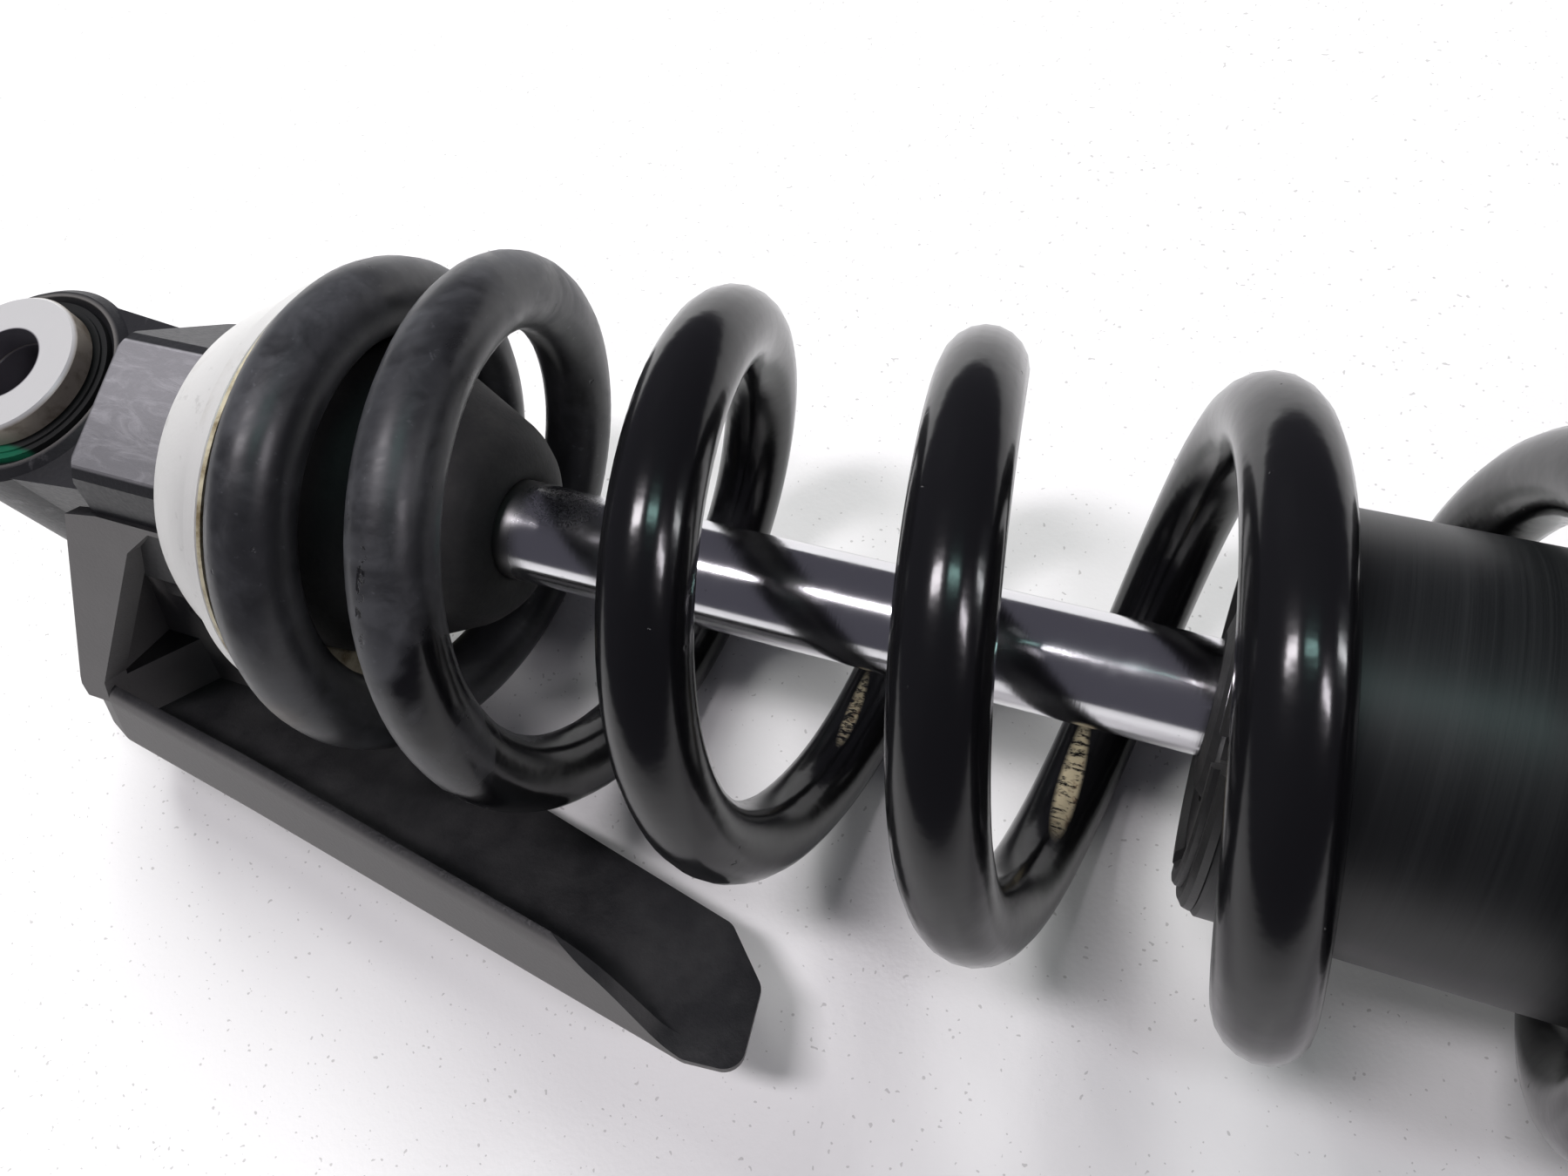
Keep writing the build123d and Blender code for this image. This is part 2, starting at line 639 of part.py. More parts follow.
with BuildPart() as guard:
    add(tray.part)
    # end web: a plate that climbs from the near rim of the tray onto the hexagon
    with BuildSketch(web_face):
        with BuildLine():
            Polyline((8.7, -36.5), (8.9, -35.0), (17.1, -3.6), (23.4, -2.6), (39.5, -2.6), (39.5, -3.4),
                     (32.9, -3.4), (27.8, -7.6), (14.1, -34.8), (14.1, -38.5), (9.5, -38.5), close=True)
        make_face()
    extrude(amount=-web_thickness)
    # pad under the hexagon
    with BuildSketch(saddle_plane):
        with Locations((-0.6, -1.5)):
            Rectangle(hex_end - hex_start - 1.2, 14.0)
    extrude(amount=pad_thickness)
    # back wall: from the far edge of the tray up to the hexagon, lower beside the spring seat
    with BuildSketch(inner_face):
        with BuildLine():
            Polyline((9.5, -12.0), (40.4, -12.0), (40.4, -7.2), (9.5, -8.2), close=True)
        make_face()
    extrude(amount=back_wall_height)
    with BuildSketch(inner_face):
        with BuildLine():
            Polyline((40.0, -12.0), (52.0, -12.6), (52.0, -9.4), (44.0, -7.6), (40.0, -7.2), close=True)
        make_face()
    extrude(amount=back_wall_height / 3)
    # end wall: closes the tray between the web and the back wall
    lean = radians(end_wall_lean)
    end_plane = Plane(origin=inner_face.origin + Vector(end_wall_start, 0, 0), x_dir=(0, cos(tilt), -sin(tilt)),
                      z_dir=(cos(lean), -sin(lean) * sin(tilt), -sin(lean) * cos(tilt)))
    with BuildSketch(end_plane):
        with BuildLine():
            Polyline((-25.0, -1.5), (-8.6, -1.5), (-8.6, 19.0), (-12.5, 24.0), (-21.5, 24.0), (-25.0, 4.0), close=True)
        make_face()
    extrude(amount=end_wall_thickness)
    # nothing of the guard enters the mount or the eye
    with BuildSketch(Plane.YZ.offset(hex_start - 0.5)):
        RegularPolygon(hex_flat, 6, major_radius=False, rotation=hex_turn)
    extrude(amount=hex_end, mode=Mode.SUBTRACT)
    with BuildSketch(Plane.XY.offset(-30)):
        Circle(eye_r + 0.6)
        with BuildLine():
            Polyline((0, 17.0), (hex_start + 1, 15.0), (hex_start + 1, -15.0), (0, -17.0), close=True)
        make_face()
    extrude(amount=60, mode=Mode.SUBTRACT)
    with BuildSketch(saddle_plane.offset(-1)):
        with Locations((-screw_spread / 2, 0), (screw_spread / 2, 0)):
            Circle(screw_r + 0.1)
    extrude(amount=pad_thickness + 2, mode=Mode.SUBTRACT)
    with BuildSketch(saddle_plane.offset(pad_thickness)):
        with Locations((-screw_spread / 2, 0), (screw_spread / 2, 0)):
            Circle(key_room_r)
    extrude(amount=key_room_depth, mode=Mode.SUBTRACT)
write(guard.part, "splash_guard")

with BuildPart() as guard_screws:
    with BuildSketch(saddle_plane.offset(-screw_depth)):
        with Locations((-screw_spread / 2, 0), (screw_spread / 2, 0)):
            Circle(screw_r)
    extrude(amount=screw_depth + pad_thickness)
    with BuildSketch(saddle_plane.offset(pad_thickness)):
        with Locations((-screw_spread / 2, 0), (screw_spread / 2, 0)):
            Circle(4.2)
    extrude(amount=3.0)
    with BuildSketch(saddle_plane.offset(pad_thickness + 1.4)):
        with Locations((-screw_spread / 2, 0), (screw_spread / 2, 0)):
            RegularPolygon(1.5, 6, major_radius=False)
    extrude(amount=3.0, mode=Mode.SUBTRACT)
write(guard_screws.part, "guard_screws")
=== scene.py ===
import bmesh
import bpy
import json
from math import cos, pi, radians, sin
from mathutils import Euler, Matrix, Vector


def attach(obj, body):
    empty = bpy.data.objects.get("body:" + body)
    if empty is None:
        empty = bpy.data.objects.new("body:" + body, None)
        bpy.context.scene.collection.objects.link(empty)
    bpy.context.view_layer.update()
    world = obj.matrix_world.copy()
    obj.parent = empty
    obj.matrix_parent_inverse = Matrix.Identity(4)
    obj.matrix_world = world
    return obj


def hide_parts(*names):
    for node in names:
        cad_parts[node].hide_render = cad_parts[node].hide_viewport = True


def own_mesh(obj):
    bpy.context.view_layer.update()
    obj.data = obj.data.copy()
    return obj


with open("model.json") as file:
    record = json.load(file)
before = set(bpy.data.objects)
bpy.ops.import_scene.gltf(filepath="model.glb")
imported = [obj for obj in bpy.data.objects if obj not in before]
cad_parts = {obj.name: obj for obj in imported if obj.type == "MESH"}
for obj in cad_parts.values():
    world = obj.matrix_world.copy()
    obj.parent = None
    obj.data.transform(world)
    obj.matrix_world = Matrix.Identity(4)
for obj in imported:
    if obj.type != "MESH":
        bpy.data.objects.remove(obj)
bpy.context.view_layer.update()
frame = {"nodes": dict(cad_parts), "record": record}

nodes = frame["nodes"]
scene = bpy.context.scene
eyeToEye = 0.392   # between the two mounting bores


# small helpers for shader nodes

def node(tree, kind, sockets=None, **settings):
    made = tree.nodes.new("ShaderNode" + kind)
    for name, value in settings.items():
        setattr(made, name, value)
    for name, value in (sockets or {}).items():
        if isinstance(value, bpy.types.NodeSocket):
            tree.links.new(value, made.inputs[name])
        else:
            made.inputs[name].default_value = value
    return made


def calc(tree, operation, a, b=0.0, clamp=False):
    return node(tree, "Math", {0: a, 1: b}, operation=operation, use_clamp=clamp).outputs[0]


def mixed(tree, factor, a, b):
    return node(tree, "Mix", {0: factor, 6: a, 7: b}, data_type="RGBA").outputs[2]


def ranged(tree, value, low, high, start=0.0, end=1.0):   # smooth step from low to high
    return node(tree, "MapRange", {"Value": value, "From Min": low, "From Max": high,
                                   "To Min": start, "To Max": end},
                interpolation_type="SMOOTHSTEP").outputs[0]


def noise(tree, place, scale, detail=3.0, rough=0.55, warp=0.0):
    return node(tree, "TexNoise", {"Vector": place, "Scale": scale, "Detail": detail,
                                   "Roughness": rough, "Distortion": warp}).outputs[0]


def stretched(tree, place, scale, location=(0, 0, 0)):
    return node(tree, "Mapping", {"Vector": place, "Scale": scale, "Location": location}).outputs[0]


def split(tree, place):
    return node(tree, "SeparateXYZ", {0: place}).outputs


def spot(tree, place, centre, size, soft=0.6):   # 1 inside an ellipsoid round centre, fading to 0
    moved = node(tree, "VectorMath", {0: place, 1: centre}, operation="SUBTRACT").outputs[0]
    sized = node(tree, "VectorMath", {0: moved, 1: size}, operation="DIVIDE").outputs[0]
    far = node(tree, "VectorMath", {0: sized}, operation="LENGTH").outputs["Value"]
    return ranged(tree, far, 1.0, soft)


def startMaterial(name, colour, metal, rough, attribute=None):
    material = bpy.data.materials.new(name)
    material.use_nodes = True
    material.diffuse_color = (*colour, 1)
    tree = material.node_tree
    shader = tree.nodes["Principled BSDF"]
    shader.inputs["Base Color"].default_value = (*colour, 1)
    shader.inputs["Metallic"].default_value = metal
    shader.inputs["Roughness"].default_value = rough
    if attribute:
        place = node(tree, "Attribute", attribute_name=attribute).outputs["Vector"]
    else:
        place = node(tree, "TexCoord").outputs["Object"]
    return material, tree, shader, place


def bump(tree, shader, height, depth, strength=1.0):
    before = shader.inputs["Normal"].links
    made = node(tree, "Bump", {"Height": height, "Distance": depth, "Strength": strength})
    if before:
        tree.links.new(before[0].from_socket, made.inputs["Normal"])
    tree.links.new(made.outputs[0], shader.inputs["Normal"])


def feed(tree, shader, **sockets):
    names = {"colour": "Base Color", "rough": "Roughness", "metal": "Metallic"}
    for key, value in sockets.items():
        tree.links.new(value, shader.inputs[names[key]])


def turnedPlace(tree, place, fine, slow):   # stretched round the X axis, so noise on it looks turned
    x, y, z = split(tree, place)
    flat = node(tree, "CombineXYZ", {1: y, 2: z}).outputs[0]
    away = node(tree, "VectorMath", {0: flat}, operation="LENGTH").outputs["Value"]
    along = calc(tree, "ADD", x, away)
    return stretched(tree, node(tree, "CombineXYZ", {0: along, 1: y, 2: z}).outputs[0], (fine, slow, slow))


def eyePlace(tree, place):   # both eyes folded onto one centre: distance from the bore's axis, and height
    x, y, z = split(tree, place)
    half = eyeToEye / 2
    folded = calc(tree, "SUBTRACT", calc(tree, "ABSOLUTE", calc(tree, "SUBTRACT", x, half)), half)
    flat = node(tree, "CombineXYZ", {0: folded, 1: y}).outputs[0]
    away = node(tree, "VectorMath", {0: flat}, operation="LENGTH").outputs["Value"]
    return away, z


# camera

cameraSetup = {"place": (0.1680, -0.0488, 0.1379), "turn": (23.774, 11.321, 19.144), "lens": 27.106}
cameraData = bpy.data.cameras.new("camera")
cameraData.lens = cameraSetup["lens"]
cameraData.sensor_width = 36
cameraData.clip_start = 0.005
camera = bpy.data.objects.new("camera", cameraData)
camera.location = cameraSetup["place"]
camera.rotation_euler = Euler([radians(a) for a in cameraSetup["turn"]])
scene.collection.objects.link(camera)
scene.camera = camera
print("camera placed")

# coil spring

springSize = {
    "wire": 0.00525, "coil": 0.0324, "endCoil": 0.0290,
    "openPitch": 0.0325, "closedPitch": 0.0118,
    "low": 0.057, "high": 0.240, "startDeg": -87.5,
    "closedTurns": 0.7, "transition": 0.7, "openTurns": 4.25,
    "growFrom": 0.35, "growOver": 1.3,   # turns over which the first coil widens
    "wireTipLow": 0.0563, "wireTipHigh": 0.2397, "stepsPerTurn": 84, "sides": 8, "sharpDeg": 50,
    "keep": 0.508,   # length left at full travel
}


def springPoints(size):
    turns = 2 * (size["closedTurns"] + size["transition"]) + size["openTurns"]
    steps = round(turns * size["stepsPerTurn"])
    climb = [0.0]
    for i in range(steps):
        turn = turns * (i + 0.5) / steps
        edge = min(turn, turns - turn)
        opened = min(1, max(0, (edge - size["closedTurns"]) / size["transition"]))
        climb.append(climb[-1] + size["closedPitch"] + (size["openPitch"] - size["closedPitch"]) * opened)
    stretch = (size["wireTipHigh"] - size["wireTipLow"]) / climb[-1]
    points = []
    for i in range(steps + 1):
        turn = turns * i / steps
        grown = min(1, max(0, (turn - size["growFrom"]) / size["growOver"]))
        away = size["endCoil"] + (size["coil"] - size["endCoil"]) * grown * (2 - grown)
        angle = radians(size["startDeg"]) + 2 * pi * turn
        points.append(Vector((size["wireTipLow"] + climb[i] * stretch,
                              away * cos(angle), away * sin(angle))))
    return points


def makeSpring(size):
    curve = bpy.data.curves.new("springWire", "CURVE")
    curve.dimensions = "3D"
    curve.bevel_depth = size["wire"]
    curve.bevel_resolution = size["sides"]
    curve.use_fill_caps = True
    points = springPoints(size)
    line = curve.splines.new("POLY")
    line.points.add(len(points) - 1)
    for made, place in zip(line.points, points):
        made.co = (*place, 1)
    wire = bpy.data.objects.new("springWire", curve)
    scene.collection.objects.link(wire)
    bpy.context.view_layer.update()
    mesh = bpy.data.meshes.new_from_object(wire.evaluated_get(bpy.context.evaluated_depsgraph_get()))
    bpy.data.objects.remove(wire)
    bm = bmesh.new()
    bm.from_mesh(mesh)
    bmesh.ops.remove_doubles(bm, verts=bm.verts, dist=1e-6)
    for place, away in ((size["low"], -1), (size["high"], 1)):
        cut = bmesh.ops.bisect_plane(bm, geom=bm.verts[:] + bm.edges[:] + bm.faces[:], dist=1e-7,
                                     plane_co=(place, 0, 0), plane_no=(away, 0, 0), clear_outer=True)
        rim = [e for e in cut["geom_cut"] if isinstance(e, bmesh.types.BMEdge)]
        bmesh.ops.edgeloop_fill(bm, edges=rim)
    bmesh.ops.recalc_face_normals(bm, faces=bm.faces)
    bm.to_mesh(mesh)
    bm.free()
    mesh.shade_smooth()
    mesh.set_sharp_from_angle(angle=radians(size["sharpDeg"]))
    rest = mesh.attributes.new("restPlace", "FLOAT_VECTOR", "POINT")
    for vertex in mesh.vertices:
        rest.data[vertex.index].vector = vertex.co
    piece = bpy.data.objects.new("coilSpring", mesh)
    scene.collection.objects.link(piece)
    return piece


spring = makeSpring(springSize)
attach(spring, "rod")
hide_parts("spring")
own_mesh(spring)
print("spring wound", len(spring.data.polygons), "faces")

# bump stop

bumpStopSize = {
    "outline": [(57.4, 7.05), (57.4, 22.7), (57.8, 23.2), (61.0, 22.95), (61.9, 22.6), (78.2, 15.1),
                (79.2, 14.5), (81.0, 12.9), (81.6, 12.0), (82.2, 10.2), (82.4, 8.6), (82.3, 7.5), (82.0, 7.05)],
    "steps": 120, "sharpDeg": 40,
}


def makeBumpStop(size):
    bm = bmesh.new()
    rim = [bm.verts.new((x / 1000, 0, away / 1000)) for x, away in size["outline"]]
    edges = [bm.edges.new((rim[i], rim[(i + 1) % len(rim)])) for i in range(len(rim))]
    bmesh.ops.spin(bm, geom=edges, axis=(1, 0, 0), cent=(0, 0, 0), angle=2 * pi,
                   steps=size["steps"], use_merge=True, use_duplicate=False)
    bmesh.ops.remove_doubles(bm, verts=bm.verts, dist=1e-6)
    bmesh.ops.recalc_face_normals(bm, faces=bm.faces)
    mesh = bpy.data.meshes.new("bumpStop")
    bm.to_mesh(mesh)
    bm.free()
    mesh.shade_smooth()
    mesh.set_sharp_from_angle(angle=radians(size["sharpDeg"]))
    piece = bpy.data.objects.new("bumpStopRubber", mesh)
    scene.collection.objects.link(piece)
    return piece


bumpStop = makeBumpStop(bumpStopSize)
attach(bumpStop, "rod")
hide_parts("bump_stop")
print("bump stop turned")

# materials

lacquer = {
    "black": (0.0048, 0.0048, 0.0056), "dust": (0.058, 0.060, 0.066), "bareSteel": (0.42, 0.36, 0.24),
    "rust": (0.10, 0.045, 0.018), "gloss": 0.17, "dull": 0.34,
    "dullUpTo": 0.094,   # the lower coils have lost their gloss
    "scrape": ((0.1614, -0.0085, -0.0262), (0.0018, 0.0120, 0.0075)),   # centre and size, rubbed to the steel
    "smallScrape": ((0.1292, -0.0060, -0.0262), (0.0012, 0.0080, 0.0040)),
    "chipLine": ((0.0855, -0.0225, 0.0292), (0.0007, 0.0085, 0.0075)),
    "brownSpot": ((0.0640, -0.0351, 0.0060), (0.005, 0.004, 0.006)), "brown": (0.085, 0.068, 0.048),
}


def lacquerMaterial(name, look):
    material, tree, shader, place = startMaterial(name, look["black"], 0.0, look["gloss"], "restPlace")
    x = split(tree, place)[0]
    cloud = noise(tree, place, 42, 4, 0.6, 0.4)
    wander = ranged(tree, cloud, 0.3, 0.7, -0.009, 0.009)
    dulled = ranged(tree, calc(tree, "ADD", x, wander), look["dullUpTo"] + 0.004, look["dullUpTo"] - 0.004)
    smudge = ranged(tree, noise(tree, place, 75, 6, 0.68, 1.2), 0.40, 0.74)
    wiped = ranged(tree, noise(tree, place, 210, 4, 0.6, 0.5), 0.50, 0.66)   # darker rubbed spots
    film = calc(tree, "MULTIPLY", dulled, calc(tree, "ADD", calc(tree, "MULTIPLY", smudge, 0.52), 0.34))
    film = calc(tree, "MULTIPLY", film, calc(tree, "SUBTRACT", 1.0, calc(tree, "MULTIPLY", wiped, 0.30)))
    speck = ranged(tree, noise(tree, place, 900, 2, 0.5), 0.68, 0.74)
    specks = calc(tree, "MULTIPLY", speck, calc(tree, "MULTIPLY", dulled, 0.4))
    tint = mixed(tree, calc(tree, "ADD", film, specks, True), (*look["black"], 1), (*look["dust"], 1))
    # two coils rubbed through to the steel, and a chipped line on the second coil
    torn = noise(tree, stretched(tree, place, (420, 1500, 1500)), 1.0, 5, 0.72)
    scrape = calc(tree, "MULTIPLY", spot(tree, place, *look["scrape"], 0.55),
                  ranged(tree, torn, 0.38, 0.50))
    smallScrape = calc(tree, "MULTIPLY", spot(tree, place, *look["smallScrape"], 0.5),
                       ranged(tree, torn, 0.44, 0.54))
    bare = calc(tree, "MAXIMUM", scrape, calc(tree, "MULTIPLY", smallScrape, 0.6))
    rusty = ranged(tree, noise(tree, place, 310, 4, 0.7), 0.50, 0.64)
    steel = mixed(tree, rusty, (*look["bareSteel"], 1), (*look["rust"], 1))
    tint = mixed(tree, bare, tint, steel)
    brown = spot(tree, place, *look["brownSpot"], 0.2)
    tint = mixed(tree, calc(tree, "MULTIPLY", brown, 0.45), tint, (*look["brown"], 1))
    chipLine = spot(tree, place, *look["chipLine"], 0.6)
    chips = calc(tree, "MULTIPLY", chipLine, ranged(tree, noise(tree, place, 600, 4, 0.7), 0.50, 0.55))
    tint = mixed(tree, chips, tint, (0.004, 0.004, 0.005, 1))
    rough = calc(tree, "ADD", calc(tree, "MULTIPLY", dulled, look["dull"] - look["gloss"]), look["gloss"])
    rough = calc(tree, "ADD", rough, calc(tree, "MULTIPLY", calc(tree, "MULTIPLY", smudge, dulled), 0.22))
    rough = calc(tree, "ADD", rough, calc(tree, "MULTIPLY", bare, 0.35), True)
    feed(tree, shader, colour=tint, rough=rough)
    bump(tree, shader, noise(tree, place, 330, 2, 0.5), 0.00004)     # orange peel
    bump(tree, shader, noise(tree, place, 70, 2, 0.5), 0.00016)
    pits = ranged(tree, noise(tree, place, 310, 3, 0.6), 0.73, 0.77)
    hollows = calc(tree, "MAXIMUM", calc(tree, "MAXIMUM", pits, chips), bare)
    bump(tree, shader, calc(tree, "MULTIPLY", hollows, -1.0), 0.00014)
    return material


anodised = {"black": (0.0048, 0.0054, 0.0058), "worn": (0.0115, 0.0125, 0.0130), "rough": 0.40}


def anodisedMaterial(name, look):
    material, tree, shader, place = startMaterial(name, look["black"], 0.0, look["rough"])
    fineLines = noise(tree, turnedPlace(tree, place, 5200, 22), 1.0, 4, 0.7)
    broadLines = noise(tree, turnedPlace(tree, place, 700, 9), 1.0, 3, 0.6)
    cloud = noise(tree, place, 60, 4, 0.6)
    tone = ranged(tree, calc(tree, "ADD", calc(tree, "MULTIPLY", fineLines, 0.5),
                             calc(tree, "MULTIPLY", broadLines, 0.5)), 0.36, 0.70)
    feed(tree, shader, colour=mixed(tree, tone, (*look["black"], 1), (*look["worn"], 1)))
    rough = calc(tree, "ADD", look["rough"] - 0.06, calc(tree, "MULTIPLY", cloud, 0.12))
    feed(tree, shader, rough=calc(tree, "ADD", rough, calc(tree, "MULTIPLY", broadLines, 0.04)))
    bump(tree, shader, fineLines, 0.000008)
    return material


blasted = {"black": (0.0125, 0.0125, 0.0125), "worn": (0.021, 0.021, 0.021), "rough": 0.36,
           "on": ("end_cap", "top_cap")}


def blastedMaterial(name, look):   # bead-blasted before anodising
    material, tree, shader, place = startMaterial(name, look["black"], 0.0, 0.42)
    grain = noise(tree, place, 1700, 3, 0.6)
    worn = ranged(tree, noise(tree, place, 140, 5, 0.65), 0.45, 0.75)
    feed(tree, shader, colour=mixed(tree, worn, (*look["black"], 1), (*look["worn"], 1)),
         rough=calc(tree, "ADD", look["rough"], calc(tree, "MULTIPLY", grain, 0.14)))
    bump(tree, shader, grain, 0.00003)
    return material


forging = {"black": (0.0130, 0.0132, 0.0150), "scuff": (0.330, 0.325, 0.345), "bare": (0.13, 0.125, 0.12),
           "hexStart": 0.022, "flatHeight": 0.0182, "hexTurn": 9.5}


def forgingMaterial(name, look):
    material, tree, shader, place = startMaterial(name, look["black"], 0.0, 0.5)
    x, y, z = split(tree, place)
    # the top flat of the hexagon is scuffed grey
    across = calc(tree, "ADD", calc(tree, "MULTIPLY", z, cos(radians(look["hexTurn"]))),
                  calc(tree, "MULTIPLY", y, -sin(radians(look["hexTurn"]))))
    onFlat = calc(tree, "MULTIPLY", ranged(tree, across, look["flatHeight"], look["flatHeight"] + 0.0002),
                  ranged(tree, x, look["hexStart"] - 0.0002, look["hexStart"] + 0.0004))
    turned = node(tree, "Mapping", {"Vector": place, "Rotation": (0, 0, 0.7), "Scale": (110, 330, 140)}).outputs[0]
    swirl = noise(tree, turned, 1.0, 6, 0.66, 1.6)
    marks = ranged(tree, swirl, 0.42, 0.72)
    grey = calc(tree, "ADD", calc(tree, "MULTIPLY", marks, 0.20), ranged(tree, y, -0.011, 0.001, 0.34, 0.56))
    grain = noise(tree, place, 1300, 3, 0.6)
    away, height = eyePlace(tree, place)
    rimLine = calc(tree, "MULTIPLY", ranged(tree, height, 0.01235, 0.01245),
                   calc(tree, "MULTIPLY", ranged(tree, away, 0.0140, 0.0143), ranged(tree, away, 0.0160, 0.0153)))
    tint = mixed(tree, calc(tree, "MULTIPLY", onFlat, grey), (*look["black"], 1), (*look["scuff"], 1))
    wornBits = calc(tree, "MULTIPLY", ranged(tree, noise(tree, place, 160, 5, 0.7), 0.62, 0.72), 0.16)
    tint = mixed(tree, wornBits, tint, (*look["scuff"], 1))
    tint = mixed(tree, calc(tree, "MULTIPLY", rimLine, 0.75), tint, (*look["bare"], 1))
    feed(tree, shader, colour=tint, rough=calc(tree, "ADD", 0.36, calc(tree, "MULTIPLY", grain, 0.22)))
    bump(tree, shader, grain, 0.00006)
    bump(tree, shader, calc(tree, "MULTIPLY", marks, onFlat), 0.00004)
    return material


satin = {"silver": (0.64, 0.64, 0.625), "stain": (0.46, 0.44, 0.40), "rough": 0.42}


def satinMaterial(name, look):
    material, tree, shader, place = startMaterial(name, look["silver"], 0.35, look["rough"])
    lines = noise(tree, turnedPlace(tree, place, 4200, 26), 1.0, 3, 0.6)
    stain = ranged(tree, noise(tree, place, 110, 5, 0.62), 0.55, 0.80)
    edge = ranged(tree, noise(tree, place, 480, 4, 0.6), 0.60, 0.72)
    tint = mixed(tree, calc(tree, "MULTIPLY", stain, 0.5), (*look["silver"], 1), (*look["stain"], 1))
    tint = mixed(tree, calc(tree, "MULTIPLY", edge, 0.18), tint, (0.12, 0.11, 0.10, 1))
    feed(tree, shader, colour=tint, rough=calc(tree, "ADD", look["rough"], calc(tree, "MULTIPLY", lines, 0.12)))
    bump(tree, shader, lines, 0.00003)
    bump(tree, shader, noise(tree, place, 1500, 2), 0.00002)
    return material


def turnedAluminiumMaterial(name):
    material, tree, shader, place = startMaterial(name, (0.68, 0.69, 0.70), 1.0, 0.3)
    lines = noise(tree, turnedPlace(tree, place, 3000, 10), 1.0, 3, 0.6)
    feed(tree, shader, colour=mixed(tree, lines, (0.60, 0.61, 0.62, 1), (0.74, 0.75, 0.76, 1)),
         rough=calc(tree, "ADD", 0.22, calc(tree, "MULTIPLY", lines, 0.16)))
    bump(tree, shader, lines, 0.00004)
    return material


chrome = {"silver": (0.78, 0.78, 0.80), "oil": (0.16, 0.145, 0.16), "rough": 0.135,
          "smudge": (0.0900, 0.0025, 0.0064), "bumpStopEnd": 0.0824}


def chromeMaterial(name, look):
    material, tree, shader, place = startMaterial(name, look["silver"], 1.0, look["rough"])
    x = split(tree, place)[0]
    near = spot(tree, place, look["smudge"], (0.0085, 0.0052, 0.0040), 0.4)
    curls = noise(tree, stretched(tree, place, (420, 620, 620)), 1.0, 4, 0.6, 4.0)
    line = calc(tree, "ABSOLUTE", calc(tree, "SUBTRACT", curls, 0.5))
    oil = calc(tree, "MULTIPLY", near, ranged(tree, line, 0.045, 0.015))
    soaked = ranged(tree, x, look["bumpStopEnd"] + 0.0045, look["bumpStopEnd"] - 0.001)
    haze = ranged(tree, noise(tree, place, 160, 5, 0.7), 0.42, 0.75)
    hairline = noise(tree, stretched(tree, place, (2600, 160, 160)), 1.0, 2, 0.5)
    dots = ranged(tree, noise(tree, place, 1500, 1), 0.76, 0.80)
    tint = mixed(tree, calc(tree, "MULTIPLY", oil, 0.7), (*look["silver"], 1), (*look["oil"], 1))
    tint = mixed(tree, calc(tree, "MULTIPLY", soaked, 0.8), tint, (0.09, 0.08, 0.065, 1))
    feed(tree, shader, colour=mixed(tree, calc(tree, "MULTIPLY", dots, 0.5), tint, (0.3, 0.3, 0.32, 1)))
    rough = calc(tree, "ADD", calc(tree, "MULTIPLY", haze, 0.06), look["rough"])
    rough = calc(tree, "ADD", rough, calc(tree, "MULTIPLY", soaked, 0.30))
    feed(tree, shader, rough=calc(tree, "ADD", rough, calc(tree, "MULTIPLY", oil, 0.25), True))
    bump(tree, shader, hairline, 0.000004)
    return material


rubber = {"black": (0.0125, 0.0125, 0.0130), "bloom": (0.026, 0.0255, 0.0245), "rough": 0.66}


def rubberMaterial(name, look):
    material, tree, shader, place = startMaterial(name, look["black"], 0.0, look["rough"])
    bloom = ranged(tree, noise(tree, place, 130, 5, 0.65), 0.40, 0.75)
    grain = noise(tree, place, 1500, 3, 0.6)
    feed(tree, shader, colour=mixed(tree, bloom, (*look["black"], 1), (*look["bloom"], 1)),
         rough=calc(tree, "ADD", look["rough"] - 0.06, calc(tree, "MULTIPLY", grain, 0.16)))
    bump(tree, shader, grain, 0.00005)
    return material


def sealMaterial(name):
    material, tree, shader, place = startMaterial(name, (0.012, 0.150, 0.085), 0.0, 0.38)
    clearOfPaintedShade = ranged(tree, split(tree, place)[1], -0.0104, -0.0114)   # green only on the near strip; the rest is painted shade standing in for the collar's shadow
    grime = ranged(tree, noise(tree, place, 300, 5, 0.65), 0.50, 0.66)
    # dark mix: painted shade by position, plus real grime patches
    grimeAndPaintedShade = calc(tree, "MAXIMUM", calc(tree, "MULTIPLY", grime, 0.5), calc(tree, "SUBTRACT", 1.0, clearOfPaintedShade), True)
    feed(tree, shader, colour=mixed(tree, grimeAndPaintedShade, (0.012, 0.150, 0.080, 1), (0.0065, 0.0070, 0.0070, 1)),
         rough=calc(tree, "ADD", 0.32, calc(tree, "MULTIPLY", grimeAndPaintedShade, 0.25)))
    bump(tree, shader, noise(tree, place, 900, 2), 0.00003)
    return material


# face is the steel's own colour; the bore and the cylinder wall are painted darker as shade, the wall also with
# brown staining
ground = {"face": (0.54, 0.54, 0.54), "side": (0.25, 0.225, 0.190), "bore": (0.10, 0.095, 0.11),
          "faceHeight": 0.0166}


